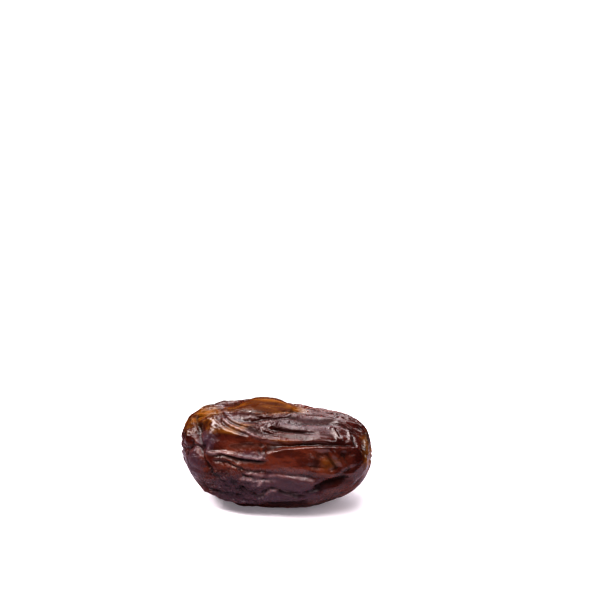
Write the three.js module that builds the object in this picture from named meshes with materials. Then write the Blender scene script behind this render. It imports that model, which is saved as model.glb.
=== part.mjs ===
// A dried date lying on its side: one soft fruit under one wrinkled skin, with the scar of its stalk at one
// end and the small point of the flower at the other.
// Millimetres, +Z up. X runs along the fruit from the stalk end to the tip, and -Y is its better side.
// The origin is the middle of the flat spot that the fruit rests on.
import * as THREE from "three";
import { mergeVertices } from "three/addons/utils/BufferGeometryUtils.js";

// Driving dimensions of the plump body under the wrinkles
const HALF_LENGTH = 22.6;
const HALF_WIDTH = 12.4;
const HALF_HEIGHT = 11.85;
const PRESSED_FLAT = 0.45; // how much of the soft underside is pressed level by its own weight
const BEND = 0.5; // both ends lean this far towards -Y
const STALK_LIFT = 1; // the ends stand off the ground like a rocker's
const TIP_LIFT = 0.6;

// Fullness of the body: exponents of its outlines, 2 for an ellipse and higher for blunter ends
const SECTION_FULLNESS = 2.2;
const SHOULDER_FULLNESS = 2.62;
const FULLNESS_SWING = 0.42; // the upper back is blunter and the lower front rounder by this much
const FULLEST_SIDE = 113; // degrees round the body

// Fineness of the faceted skin
const RINGS = 64;
const SIDES = 92;
const FINER = 0.38; // the sides crowd together by this share where the folds are finest, and spread opposite
const FINEST_SIDE = 30; // degrees round the body
const PROFILE_STEPS = 400;
const PATH_STEPS = 16;
const SAME_POINT = 1e-5; // corners of the sphere closer than this are one
const LEAST_BLUNT = 0.32; // the sharpest crest or crease that this grid can carry
const FRONT_SPREAD = 0.3; // how much wider than drawn the folds are, for the same reason, on the fine side
const BACK_SPREAD = 0.25; // and on the coarse one
const FRONT_GAIN = 1.6; // and how much higher, so that they show as clearly
const STEEPEST = 0.95; // but no fold's flank is steeper than this

const FRONT_TURN = 2.8; // the folds of the front are turned up round the body by these degrees
const FADE_SHARE = 0.25; // a fold rises over this share of its length at either end

// Skin folds. A path holds [millimetres along X, degrees round the body], where 0 degrees is the -Y side and
// 90 the top. rise is the crest's height, or the depth of a crease where it is negative. above and below are
// how far the fold fades out on its two sides, and blunt is the roundness left on its crest.
const FRONT_FOLDS = [
  // The long shoulder ridge from the stalk end to the tip, with the slack skin beside it
  { rise: 0.75, above: 0.9, below: 0.7, blunt: 0.25,
    path: [[-13.9, 82], [-12.1, 62], [-9.3, 49], [-5.4, 41], [-0.9, 35.5], [5.1, 34], [10.7, 36],
      [18, 39]] },
  { rise: 0.5, above: 0.5, below: 0.4, blunt: 0.2,
    path: [[-12.9, 84], [-11.4, 67], [-8.9, 55], [-5.8, 49.5], [-1.8, 50]] },
  { rise: -0.5, above: 0.35, below: 0.4, blunt: 0.2,
    path: [[-12.6, 76], [-11.3, 61], [-8.4, 51], [-4.6, 44.5]] },
  { rise: 0.75, above: 0.8, below: 1.4, blunt: 0.5,
    path: [[-15.4, 76], [-13.5, 60], [-12.2, 52], [-10.2, 43.5], [-7.2, 39], [-3.2, 36]] },
  { rise: -0.6, above: 0.35, below: 0.35, blunt: 0.2,
    path: [[-13.6, 70], [-12.3, 57], [-9.5, 45.5], [-6.1, 40.3], [-3, 38]] },
  // The flat facet at the stalk end, between its bright edges and the deep crease that sets off the end
  { rise: 0.5, above: 1.6, below: 0.35, blunt: 0.2,
    path: [[-17.2, 47], [-16.6, 38], [-15.8, 31], [-15.2, 27]] },
  { rise: -1.4, above: 0.9, below: 1, blunt: 0.4,
    path: [[-19.2, 78], [-18.4, 60], [-17.5, 43], [-16.7, 31], [-15.7, 22], [-14.6, 15]] },
  { rise: 0.55, above: 0.4, below: 0.4, blunt: 0.2,
    path: [[-19.5, 74], [-18.8, 60], [-18, 44]] },
  { rise: 0.5, above: 0.8, below: 0.45, blunt: 0.2,
    path: [[-18.3, 63], [-17, 58.5], [-15.2, 58], [-14.2, 62]] },
  { rise: -0.8, above: 0.6, below: 0.6, blunt: 0.4,
    path: [[-18.2, 34], [-19.2, 20], [-20.6, 2]] },
  { rise: 0.4, above: 0.5, below: 0.5, blunt: 0.3,
    path: [[-19.9, 56], [-20, 40], [-20.4, 24]] },
  // The overhanging lip along the middle, the hollow over it and the crease under it
  { rise: 0.52, above: 0.42, below: 0.22, blunt: 0.16,
    path: [[-11.5, 18], [-9.5, 17], [-6.5, 15.4], [-4.2, 14.6], [-1.8, 15], [-0.4, 22]] },
  { rise: 0.3, above: 0.3, below: 0.25, blunt: 0.16,
    path: [[-15.8, 20], [-14.4, 17], [-12.7, 16.6], [-10.7, 18.5], [-9.1, 17], [-7.5, 16]] },
  { rise: -0.25, above: 0.5, below: 0.4, blunt: 0.3,
    path: [[-14, 20.5], [-12, 20.5], [-9.5, 21.5]] },
  { rise: -0.55, above: 0.25, below: 0.4, blunt: 0.16,
    path: [[-14.8, 11.5], [-12.6, 13], [-9.5, 16.2], [-7, 13.4], [-4, 12.9], [-1.2, 12], [0.6, 14.5]] },
  { rise: -0.35, above: 0.3, below: 0.3, blunt: 0.2,
    path: [[-2.4, 26], [-2.1, 20], [-2.2, 14.5]] },
  { rise: -0.35, above: 0.3, below: 0.3, blunt: 0.2,
    path: [[-1.2, 26], [-0.9, 20], [-0.9, 14.5]] },
  { rise: -0.18, above: 0.3, below: 0.3, blunt: 0.1,
    path: [[-3.5, 25], [-3.3, 20], [-3.4, 15]] },
  { rise: -0.12, above: 0.3, below: 0.3, blunt: 0.1,
    path: [[-5, 25], [-4.7, 20], [-4.8, 15.5]] },
  { rise: 0.4, above: 0.35, below: 1, blunt: 0.16,
    path: [[0.4, 19.5], [1.6, 22], [3.8, 24.7], [7.2, 26.4], [10.7, 28.4], [14.3, 30], [17.1, 32],
      [20.4, 35]] },
  { rise: -0.38, above: 0.6, below: 0.35, blunt: 0.3,
    path: [[3.6, 29.3], [7, 30.7], [10.5, 32.3], [14, 33], [19.4, 36]] },
  // The crease below the lip, with its beaded upper edge
  { rise: -0.4, above: 0.3, below: 0.9, blunt: 0.16,
    path: [[-14.6, 10], [-12.5, 7.5], [-9.7, 8.5], [-7.5, 4.5], [-4.5, 1.5], [-0.6, 1.5], [3, 0.5]] },
  { rise: 0.3, above: 0.35, below: 0.3, blunt: 0.2,
    path: [[-13.8, 12.5], [-11.2, 10.7], [-9.2, 11], [-7.5, 7.5], [-5.5, 5.5]] },
  { rise: 0.12, above: 0.35, below: 0.3, blunt: 0.2,
    path: [[-8, 7], [-4.5, 4], [-1.5, 4]] },
  { rise: 0.15, above: 0.5, below: 0.5, blunt: 0.3,
    path: [[-10, 3], [-7, -1.5], [-4, -3.2], [-1, -4], [0.8, -2]] },
  // Short pleats across the skin near the tip
  { rise: -0.35, above: 1, below: 1.4, blunt: 0.8,
    path: [[11.4, 30], [11.3, 21], [11.1, 11], [10.7, 2]] },
  { rise: -0.4, above: 1, below: 1.2, blunt: 0.8,
    path: [[12.1, 29], [13.5, 20.5], [14.8, 10.5], [16.1, -3]] },
  { rise: -0.4, above: 1, below: 1.2, blunt: 0.8,
    path: [[15.6, 30], [17.2, 19.5], [18, 7], [18.5, -6]] },
  { rise: 0.3, above: 0.6, below: 0.5, blunt: 0.4,
    path: [[13.9, 28], [15.5, 20], [16.8, 10], [17.5, -2]] },
  // The plates of dried skin low on the front
  { rise: 0.25, above: 0.45, below: 0.9, blunt: 0.3,
    path: [[-0.8, -5.5], [1.3, -3], [2.9, -2.5], [5.8, -4.5], [8.2, -8], [10.6, -11], [12, -15.5]] },
  { rise: 0.25, above: 0.45, below: 0.9, blunt: 0.3,
    path: [[-7.4, -15], [-6.4, -10.5], [-4.4, -9], [-3.4, -11.5], [-0.8, -10.5], [0.8, -13]] },
  { rise: -0.35, above: 0.4, below: 0.25, blunt: 0.16,
    path: [[-6.6, -7.5], [-4.2, -6.5], [-2.8, -8.8], [-0.5, -7.8], [0.8, -9.8], [0.3, -15]] },
  { rise: -0.5, above: 0.5, below: 0.4, blunt: 0.2,
    path: [[-6.4, -28], [-2, -27.5], [-0.6, -20.5], [1, -18], [3.6, -21.5], [6, -24.5], [9.6, -30]] },
  { rise: 0.45, above: 0.25, below: 1, blunt: 0.16,
    path: [[-7.4, -31], [-1.6, -31], [0.2, -23.5], [1.6, -22], [4.8, -27.5], [8.4, -36]] },
  { rise: -0.35, above: 0.3, below: 0.3, blunt: 0.16,
    path: [[1.2, -22.5], [4, -24], [7.5, -30]] },
  { rise: -0.3, above: 0.6, below: 0.6, blunt: 0.3,
    path: [[9.6, -30], [6.5, -41], [2, -44], [-3, -46]] },
  { rise: -0.7, above: 1.2, below: 1.6, blunt: 0.5,
    path: [[10.2, -30], [11, -22], [12.8, -16], [15.3, -13.5], [17.2, -11], [18.8, -8.5]] },
  // The smooth cheek at the stalk end
  { rise: -0.75, above: 0.4, below: 0.8, blunt: 0.2,
    path: [[-21.6, 18], [-20, 20], [-18.2, 24], [-16.6, 21], [-15.4, 13], [-14.2, 3], [-12.8, -7],
      [-11, -13]] },
  { rise: -0.4, above: 0.6, below: 0.6, blunt: 0.4,
    path: [[-12.2, -10], [-9.8, -20], [-8.4, -30]] },
  // Long folds over the top
  { rise: 0.45, above: 0.9, below: 0.9, blunt: 0.5,
    path: [[-0.2, 78], [3.8, 73], [7, 71], [10.8, 76], [15.5, 74], [19.4, 68]] },
  { rise: -0.3, above: 0.4, below: 0.25, blunt: 0.1,
    path: [[3.2, 60], [5.7, 56.5], [7.5, 58.5], [11.3, 61.5], [13.4, 65], [17.8, 70]] },
  { rise: 0.2, above: 0.8, below: 1, blunt: 0.6,
    path: [[-3.2, 58], [-0.2, 53.5], [4.8, 50], [9.6, 50], [13.8, 56]] },
  { rise: -0.25, above: 0.3, below: 0.25, blunt: 0.1,
    path: [[-3, 47], [2.1, 46], [4.9, 45], [7.7, 45.5], [12, 46.5]] },
  { rise: 0.35, above: 0.4, below: 0.6, blunt: 0.6,
    path: [[0.4, 44], [5, 41.5], [10.1, 40.5], [15.4, 41]] },
  { rise: 0.5, above: 0.3, below: 0.35, blunt: 0.2,
    path: [[13.7, 60], [14.6, 53], [15.6, 45], [16.8, 39]] },
  { rise: -0.3, above: 0.3, below: 0.3, blunt: 0.2,
    path: [[14.5, 60], [15.4, 52], [16.4, 44]] },
  { rise: -0.3, above: 0.4, below: 0.3, blunt: 0.1,
    path: [[-10.6, 60], [-6, 57], [-1, 61.5], [3, 65]] },
  { rise: 0.2, above: 0.5, below: 0.4, blunt: 0.3,
    path: [[-9.4, 68], [-5, 63], [-1.5, 67]] },
  { rise: -0.25, above: 0.4, below: 0.5, blunt: 0.3,
    path: [[-10.6, 84], [-7, 76], [-2, 75], [2.6, 79], [7, 90]] },
  { rise: 0.3, above: 0.3, below: 0.3, blunt: 0.16,
    path: [[-5.6, 72], [-5, 67], [-5.4, 63]] },
  { rise: 0.3, above: 0.3, below: 0.3, blunt: 0.16,
    path: [[-2.2, 72], [-1.6, 66], [-2.2, 62]] },
  { rise: -0.6, above: 0.8, below: 0.7, blunt: 0.4,
    path: [[-5, 116], [2, 110], [8, 101]] },
  { rise: 0.3, above: 0.4, below: 0.4, blunt: 0.2,
    path: [[-9, 92], [-4, 91], [1, 90], [4.6, 86]] },
  { rise: 0.25, above: 0.4, below: 0.4, blunt: 0.2,
    path: [[-7.5, 99], [-2, 98.5], [3.5, 94]] },
  { rise: 0.35, above: 0.3, below: 0.5, blunt: 0.2,
    path: [[2.2, 93], [3.4, 87], [3.6, 82]] },
  // Folds that run in round the tip
  { rise: 0.4, above: 0.35, below: 0.35, blunt: 0.2,
    path: [[17.2, 66], [18.2, 55], [18.2, 46], [19.4, 38]] },
  { rise: -0.4, above: 0.4, below: 0.4, blunt: 0.2,
    path: [[17.8, 62], [19.2, 54], [19.4, 45], [20.4, 38]] },
  { rise: 0.35, above: 0.4, below: 0.5, blunt: 0.5,
    path: [[21.4, 28], [21.6, 8], [21.2, -12], [19.8, -30]] },
  { rise: -0.35, above: 0.4, below: 0.5, blunt: 0.5,
    path: [[21.6, -6], [20.6, -26], [18.4, -44]] },
];

// Places where the loose skin stands off the flesh, or the flesh has sunk: [along X, round the body], the
// rise in the middle, the half-length and half-width of the place, and how abruptly it ends, 1 for a soft
// mound and higher for a flat plate
const SWELLS = [
  { at: [-2.4, 98], rise: 1.3, long: 5.6, wide: 2.8, edge: 1.4 }, // the blister on top
  { at: [11, 92], rise: -1.2, long: 8.5, wide: 8, edge: 1 }, // the sunk back of the tip half
  { at: [-11.5, 98], rise: -0.45, long: 3, wide: 6, edge: 1 },
  { at: [-17.2, 4], rise: 0.7, long: 3.6, wide: 4.6, edge: 1.6 }, // the cheek
  { at: [-16.8, 15], rise: -0.35, long: 1.6, wide: 1.8, edge: 1 },
  { at: [-21.4, -14], rise: -0.7, long: 2.4, wide: 5, edge: 1 }, // the cut-away foot of the stalk end
  { at: [-12, -36], rise: 0.5, long: 4.5, wide: 4, edge: 1 }, // the soft flesh under the cheek
  { at: [5, -10], rise: 0.35, long: 6, wide: 2, edge: 2 }, // the plates low on the front
  { at: [-3.4, -14], rise: 0.3, long: 3.6, wide: 2, edge: 2 },
  { at: [2.6, -28], rise: 0.3, long: 6, wide: 1.6, edge: 1.5 },
  { at: [14.4, -13], rise: -0.6, long: 3.4, wide: 1.6, edge: 1 }, // the hollow beside the plates
  { at: [9.5, -42], rise: 0.6, long: 3.4, wide: 2.6, edge: 1 },
  { at: [5.6, 17], rise: 0.5, long: 5.4, wide: 3, edge: 1.4 }, // the smooth middle of the front
  { at: [-6.5, 34], rise: -0.25, long: 6.5, wide: 1.8, edge: 1 },
  { at: [-16.2, 50], rise: -0.5, long: 1.7, wide: 2.6, edge: 1.5 }, // the facet at the stalk end
  { at: [19.6, 8], rise: 0.4, long: 3, wide: 5, edge: 1.2 },
  { at: [19.4, 62], rise: -0.6, long: 3.4, wide: 5, edge: 1 },
];

// Folds of the sides that face away, placed by a seeded draw
const BACK_FOLD_COUNT = 35;
const BACK_FROM = 116; // degrees round the body where these folds begin, behind the top
const BACK_TO = 322; // and where they end, under the front
const BACK_SEED = 4177;
const BACK_BLUNTNESS = 0.25;
const BACK_LENGTH = { least: 9, more: 20 }; // each fold's draw adds up to "more" to the least
const BACK_RISE = { least: 0.5, more: 0.5 };
const BACK_ABOVE = { least: 0.6, more: 0.7 };
const BACK_BELOW = { least: 0.5, more: 0.5 };
const BACK_HALF_RUN = 20; // none of them runs further than this from the middle
const LEAN_DRAW = 26; // degrees
const WANDER_DRAW = 9; // degrees
const SEED_FACTOR = 16807;
const SEED_RANGE = 2147483647;

// The stalk's scar in the blunt end, and the dimple with its point at the other
const SCAR_RADIUS = 2.3;
const SCAR_DEPTH = 1.5;
const TIP_RADIUS = 1.3;
const TIP_DEPTH = 0.7;
const RIM_SHARE = 0.15; // the height of the rim round each, as a share of its depth
const RIM_PLACE = 1.5; // where the rim stands and how wide it is, in radii of the scar
const RIM_WIDTH = 0.6;
const PUCKER_FROM = 0.4; // where the gathered pleats begin and are full, in radii of the scar
const PUCKER_FULL = 1.4;
const PUCKER_REACH = 6; // how far from the axis they run
const PUCKER_WIDTH = 0.4; // how much wider the pleats are than the gaps between them
const STALK_PUCKERS = { count: 9, rise: 0.25, turn: 0.4 };
const TIP_PUCKERS = { count: 7, rise: 0.14, turn: 1.3 };

// The underside stays smooth over the spot that it rests on
const REST_HALF_LENGTH = 11;
const REST_HALF_WIDTH = 5;
const REST_CALM = 0.7; // no folds inside this share of the spot's size
const REST_CREASED = 1.7; // and full ones outside this one
const END_CALM = 3; // the folds also fade out at this distance from the ends of the axis

const radians = THREE.MathUtils.degToRad;
const smooth = THREE.MathUtils.smoothstep;

// The radius of the body's middle section in a direction round the axis.
function sectionRadius(around) {
  const across = Math.abs(Math.cos(around)) / HALF_WIDTH;
  const upward = Math.abs(Math.sin(around)) / HALF_HEIGHT;
  return (across ** SECTION_FULLNESS + upward ** SECTION_FULLNESS) ** (-1 / SECTION_FULLNESS);
}

function fullness(around) {
  return SHOULDER_FULLNESS + FULLNESS_SWING * Math.cos(around - radians(FULLEST_SIDE));
}

// A point of the body's outline, seen from the middle at an angle from the stalk end: [along X, radius].
function outlinePoint(angle, around) {
  const power = fullness(around);
  const along = Math.abs(Math.cos(angle)) / HALF_LENGTH;
  const out = Math.abs(Math.sin(angle)) / sectionRadius(around);
  const reach = (along ** power + out ** power) ** (-1 / power);
  return [-reach * Math.cos(angle), reach * Math.sin(angle)];
}

// The plain skin at [along X, radius] and an angle round the body, as a point and its outward normal.
function skinAt([x, radius], around) {
  const power = fullness(around);
  const section = sectionRadius(around);
  const slopeX = (Math.sign(x) * Math.abs(x) ** (power - 1)) / HALF_LENGTH ** power;
  const slopeR = radius ** (power - 1) / section ** power;
  const side = new THREE.Vector3(0, -Math.cos(around), Math.sin(around));
  return {
    point: side.clone().multiplyScalar(radius).setX(x),
    normal: side.clone().multiplyScalar(slopeR).setX(slopeX).normalize(),
  };
}

// The plain skin above a place on the axis, for the paths of the folds.
function skinOver(x, degrees) {
  const around = radians(degrees);
  const power = fullness(around);
  const inside = 1 - (Math.abs(x) / HALF_LENGTH) ** power;
  return skinAt([x, sectionRadius(around) * inside ** (1 / power)], around);
}

// Angles from the stalk end that cut the body's outline into pieces of equal length.
function evenStations(count) {
  const angles = Array.from({ length: PROFILE_STEPS + 1 }, (_, i) => (Math.PI * i) / PROFILE_STEPS);
  const run = [0];
  for (let i = 1; i <= PROFILE_STEPS; i += 1) {
    const [x0, r0] = outlinePoint(angles[i - 1], 0);
    const [x1, r1] = outlinePoint(angles[i], 0);
    run.push(run[i - 1] + Math.hypot(x1 - x0, r1 - r0));
  }
  return Array.from({ length: count + 1 }, (_, k) => {
    const target = (run[PROFILE_STEPS] * k) / count;
    const i = Math.max(1, run.findIndex((length) => length >= target));
    const share = (target - run[i - 1]) / (run[i] - run[i - 1]);
    return angles[i - 1] + share * (angles[i] - angles[i - 1]);
  });
}

// A seeded stream of numbers from 0 to 1.
function drawFrom(seed) {
  let state = seed;
  return () => {
    state = (state * SEED_FACTOR) % SEED_RANGE;
    return state / SEED_RANGE;
  };
}

// Long wandering folds for the back and the underside, ridge and crease in turn.
function backFolds() {
  const draw = drawFrom(BACK_SEED);
  const drawn = ({ least, more }) => least + more * draw();
  return Array.from({ length: BACK_FOLD_COUNT }, (_, i) => {
    const level = BACK_FROM + ((BACK_TO - BACK_FROM) * (i + draw())) / BACK_FOLD_COUNT;
    const length = drawn(BACK_LENGTH);
    const start = -BACK_HALF_RUN + (2 * BACK_HALF_RUN - length) * draw();
    const lean = LEAN_DRAW * (draw() - 0.5);
    const path = [0, 0.25, 0.5, 0.75, 1].map((share) => [
      start + length * share,
      level + lean * (share - 0.5) + WANDER_DRAW * (draw() - 0.5),
    ]);
    const rise = drawn(BACK_RISE) * (i % 2 === 0 ? 1 : -1);
    const above = BACK_SPREAD + drawn(BACK_ABOVE);
    const below = BACK_SPREAD + drawn(BACK_BELOW);
    return { path, rise, above, below, blunt: BACK_BLUNTNESS };
  });
}

// The folds of the front, turned into place and drawn for this grid.
function frontFolds() {
  return FRONT_FOLDS.map(({ path, rise, above, below, blunt }) => {
    const highest = STEEPEST * (FRONT_SPREAD + Math.min(above, below));
    return {
      path: path.map(([x, degrees]) => [x, degrees + FRONT_TURN]),
      rise: Math.sign(rise) * Math.min(FRONT_GAIN * Math.abs(rise), highest),
      above: FRONT_SPREAD + above,
      below: FRONT_SPREAD + below,
      blunt: Math.max(blunt, LEAST_BLUNT),
    };
  });
}

// A fold's line on the plain skin, as short straight steps.
function tracedFold(fold) {
  const line = new THREE.CatmullRomCurve3(
    fold.path.map(([x, degrees]) => new THREE.Vector3(x, degrees, 0)),
    false,
    "catmullrom",
  );
  const places = line.getPoints(PATH_STEPS).map(({ x, y }) => skinOver(x, y));
  return { ...fold, places };
}

// How far a fold lifts the skin at a place.
function foldRise({ places, rise, above, below, blunt }, { point, normal }) {
  let nearest = Infinity;
  let found = { share: 0, side: 1 };
  for (let i = 1; i < places.length; i += 1) {
    const start = places[i - 1].point;
    const step = places[i].point.clone().sub(start);
    const off = point.clone().sub(start);
    const share = THREE.MathUtils.clamp(off.dot(step) / step.lengthSq(), 0, 1);
    off.addScaledVector(step, -share);
    if (off.length() < nearest) {
      nearest = off.length();
      found = { share: (i - 1 + share) / (places.length - 1), side: step.cross(off).dot(normal) };
    }
  }
  const fade = smooth(found.share, 0, FADE_SHARE) * smooth(1 - found.share, 0, FADE_SHARE);
  const distance = Math.hypot(nearest, blunt) - blunt;
  return rise * fade * Math.exp(-distance / (found.side > 0 ? above : below));
}

// How far a raised or sunk place lifts the skin.
function swellRise({ centre, rise, long, wide, edge }, { point }) {
  const off = point.clone().sub(centre.point);
  const along = off.x / long;
  const across = Math.hypot(off.y, off.z) / wide;
  return rise * Math.exp(-((along ** 2 + across ** 2) ** edge));
}

// The sunk scar or dimple and the pleats gathered round it, at a distance from the axis.
function endRise(radius, around, scarRadius, depth, puckers) {
  const bowl = -depth * Math.exp(-((radius / scarRadius) ** 4));
  const fromRim = (radius - RIM_PLACE * scarRadius) / (RIM_WIDTH * scarRadius);
  const rim = RIM_SHARE * depth * Math.exp(-(fromRim ** 2));
  const outside = smooth(radius, PUCKER_FROM * scarRadius, PUCKER_FULL * scarRadius);
  const gathered = outside * (1 - smooth(radius, scarRadius, PUCKER_REACH));
  const wave = Math.cos(puckers.count * around + puckers.turn + Math.sin(2 * around));
  return bowl + rim + puckers.rise * gathered * (wave - PUCKER_WIDTH * wave * wave);
}

const folds = [...frontFolds(), ...backFolds()].map(tracedFold);
const swells = SWELLS.map((swell) => ({ ...swell, centre: skinOver(...swell.at) }));

// A vertex of the wrinkled skin, from its angle from the stalk end and its angle round the body.
function wrinkledPoint(angle, around) {
  const [x, radius] = outlinePoint(angle, around);
  const place = skinAt([x, radius], around);
  const { point, normal } = place;
  let rise = 0;
  for (const fold of folds) rise += foldRise(fold, place);
  for (const swell of swells) rise += swellRise(swell, place);
  const offSpot = Math.hypot(point.x / REST_HALF_LENGTH, point.y / REST_HALF_WIDTH);
  const underneath = point.z < 0 ? offSpot : REST_CREASED;
  rise *= smooth(underneath, REST_CALM, REST_CREASED) * smooth(radius, 0, END_CALM);
  rise +=
    x < 0
      ? endRise(radius, around, SCAR_RADIUS, SCAR_DEPTH, STALK_PUCKERS)
      : endRise(radius, around, TIP_RADIUS, TIP_DEPTH, TIP_PUCKERS);
  point.addScaledVector(normal, rise);
  const outward = (point.x / HALF_LENGTH) ** 2;
  point.y -= BEND * outward;
  point.z += (point.x < 0 ? STALK_LIFT : TIP_LIFT) * outward;
  point.z = Math.max(0, point.z + HALF_HEIGHT - PRESSED_FLAT);
  return point;
}

// The skin as a closed surface: a sphere with its poles at the ends of the fruit and each vertex moved.
function skinGeometry() {
  const sphere = new THREE.SphereGeometry(1, SIDES, RINGS);
  sphere.rotateZ(Math.PI / 2);
  sphere.deleteAttribute("normal");
  sphere.deleteAttribute("uv");
  const skin = mergeVertices(sphere, SAME_POINT);
  const stations = evenStations(RINGS);
  const position = skin.getAttribute("position");
  const start = new THREE.Vector3();
  for (let i = 0; i < position.count; i += 1) {
    start.fromBufferAttribute(position, i);
    const ring = Math.round((RINGS * Math.acos(THREE.MathUtils.clamp(-start.x, -1, 1))) / Math.PI);
    const turn = Math.atan2(start.z, -start.y);
    const around = turn - FINER * Math.sin(turn - radians(FINEST_SIDE));
    const moved = wrinkledPoint(stations[ring], around);
    position.setXYZ(i, moved.x, moved.y, moved.z);
  }
  skin.computeBoundingBox();
  const middle = skin.boundingBox.getCenter(new THREE.Vector3());
  skin.translate(-middle.x, -middle.y, 0);
  skin.computeVertexNormals();
  return skin;
}

const skinMaterial = new THREE.MeshStandardMaterial({ color: 0x3a140c, roughness: 0.32, metalness: 0 });

const date = new THREE.Group();
const fruit = new THREE.Mesh(skinGeometry(), skinMaterial);
fruit.name = "date_fruit";
date.add(fruit);

export default date;
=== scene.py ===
# A dried date on a pale floor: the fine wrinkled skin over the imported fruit, its finish, and the light.
import math

import bmesh
import bpy
import numpy as np
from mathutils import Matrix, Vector


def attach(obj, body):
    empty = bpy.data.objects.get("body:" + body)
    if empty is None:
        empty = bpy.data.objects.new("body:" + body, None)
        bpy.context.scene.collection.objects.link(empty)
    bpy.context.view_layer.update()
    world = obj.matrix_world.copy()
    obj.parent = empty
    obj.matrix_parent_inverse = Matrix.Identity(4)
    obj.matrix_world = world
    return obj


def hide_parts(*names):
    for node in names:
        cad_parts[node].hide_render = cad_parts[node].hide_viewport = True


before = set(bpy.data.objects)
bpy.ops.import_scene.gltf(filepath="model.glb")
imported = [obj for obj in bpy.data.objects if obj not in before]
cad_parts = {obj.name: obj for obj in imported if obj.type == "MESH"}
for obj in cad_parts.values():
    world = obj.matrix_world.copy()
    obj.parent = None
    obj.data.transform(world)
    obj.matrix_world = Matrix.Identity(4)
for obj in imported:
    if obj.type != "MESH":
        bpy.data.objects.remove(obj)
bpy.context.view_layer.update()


# Camera
# A short portrait lens looks down at a shallow angle on the fruit's better side, with the tip end turned
# a little nearer. The fruit stands low in the frame and a little to the left.
LENS_MM = 60
SENSOR_MM = 36
FRAME_PIXELS = 600
FRUIT_PIXEL = (276.0, 451.0)  # where the middle of the fruit stands, from the frame's top left corner
FRUIT_MIDDLE = Vector((0.0, 0.0, 0.0121))
EYE_DISTANCE = 0.2381  # from the eye to the fruit, along the view
EYE_PITCH = math.radians(14.3)
EYE_HEADING = math.radians(7.6)
NEAREST_SEEN = 0.01

sight = Vector(
    (
        -math.sin(EYE_HEADING) * math.cos(EYE_PITCH),
        math.cos(EYE_HEADING) * math.cos(EYE_PITCH),
        -math.sin(EYE_PITCH),
    )
)
sight_right = Vector((math.cos(EYE_HEADING), math.sin(EYE_HEADING), 0.0))
sight_up = sight_right.cross(sight)
pixels_per_slope = FRAME_PIXELS * LENS_MM / SENSOR_MM
slope_right = (FRUIT_PIXEL[0] - FRAME_PIXELS / 2) / pixels_per_slope
slope_down = (FRUIT_PIXEL[1] - FRAME_PIXELS / 2) / pixels_per_slope

camera_data = bpy.data.cameras.new("camera")
camera_data.lens = LENS_MM
camera_data.sensor_width = SENSOR_MM
camera_data.clip_start = NEAREST_SEEN
camera = bpy.data.objects.new("camera", camera_data)
camera.location = FRUIT_MIDDLE - EYE_DISTANCE * (sight + slope_right * sight_right - slope_down * sight_up)
camera.rotation_euler = sight.to_track_quat("-Z", "Y").to_euler()
bpy.context.scene.collection.objects.link(camera)
bpy.context.scene.camera = camera


# The fruit's body
# One soft fruit, dried on the palm: plump, blunt at the shoulders, and pressed flat where it lies. Its
# skin is one sheet from the stalk's scar to the tip, set out on rings along the fruit's length.
HALF_LENGTH = 22.6  # the fruit's sizes are in millimetres
HALF_WIDTH = 12.4
HALF_HEIGHT = 11.85
PRESSED_FLAT = 0.45  # how much of the underside its own weight presses level
BEND = 0.5  # both ends lean this far towards the better side
STALK_LIFT = 1.0  # the ends stand off the ground like a rocker's
TIP_LIFT = 0.6
SECTION_FULLNESS = 2.2  # 2 is an ellipse, more is squarer
SHOULDER_FULLNESS = 2.62
FULLNESS_SWING = 0.42  # the upper back is blunter and the lower front rounder by this much
FULLEST_SIDE = math.radians(113)  # directions round the fruit: 0 at the better side, 90 on top
RINGS = 272
SIDES = 360
PROFILE_STEPS = 400
NEARLY_NOUGHT = 1e-9


def section_radius(around):
    across = np.abs(np.cos(around)) / HALF_WIDTH
    upward = np.abs(np.sin(around)) / HALF_HEIGHT
    return (across**SECTION_FULLNESS + upward**SECTION_FULLNESS) ** (-1 / SECTION_FULLNESS)


def fullness(around):
    return SHOULDER_FULLNESS + FULLNESS_SWING * np.cos(around - FULLEST_SIDE)


# The body's outline, seen from its middle at an angle from the stalk end: along X, and the radius.
def outline_point(angle, around):
    power = fullness(around)
    along = np.abs(np.cos(angle)) / HALF_LENGTH
    out = np.abs(np.sin(angle)) / section_radius(around)
    reach = (along**power + out**power) ** (-1 / power)
    return -reach * np.cos(angle), reach * np.sin(angle)


# Points of the plain skin, and its outward normals there.
def skin_at(x, radius, around):
    power = fullness(around)
    slope_x = np.sign(x) * np.abs(x) ** (power - 1) / HALF_LENGTH**power
    slope_out = radius ** (power - 1) / section_radius(around) ** power
    side = np.stack([np.zeros_like(x), -np.cos(around), np.sin(around)], axis=-1)
    along = np.array([1.0, 0.0, 0.0])
    point = x[..., None] * along + radius[..., None] * side
    normal = slope_x[..., None] * along + slope_out[..., None] * side
    return point, normal / np.linalg.norm(normal, axis=-1, keepdims=True)


# Angles from the stalk end that stand at even steps along the outline of the better side.
def even_stations(count):
    angles = np.linspace(0, math.pi, PROFILE_STEPS + 1)
    x, radius = outline_point(angles, np.zeros_like(angles))
    run = np.concatenate([[0.0], np.cumsum(np.hypot(np.diff(x), np.diff(radius)))])
    return np.interp(np.linspace(0, run[-1], count + 1), run, angles)


angle = even_stations(RINGS)[:, None] + np.zeros(SIDES)
around = 2 * math.pi * np.arange(SIDES) / SIDES + np.zeros((RINGS + 1, 1))
body_x, body_radius = outline_point(angle, around)
body_radius = np.maximum(body_radius, NEARLY_NOUGHT)
body, body_out = skin_at(body_x, body_radius, around)


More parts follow.
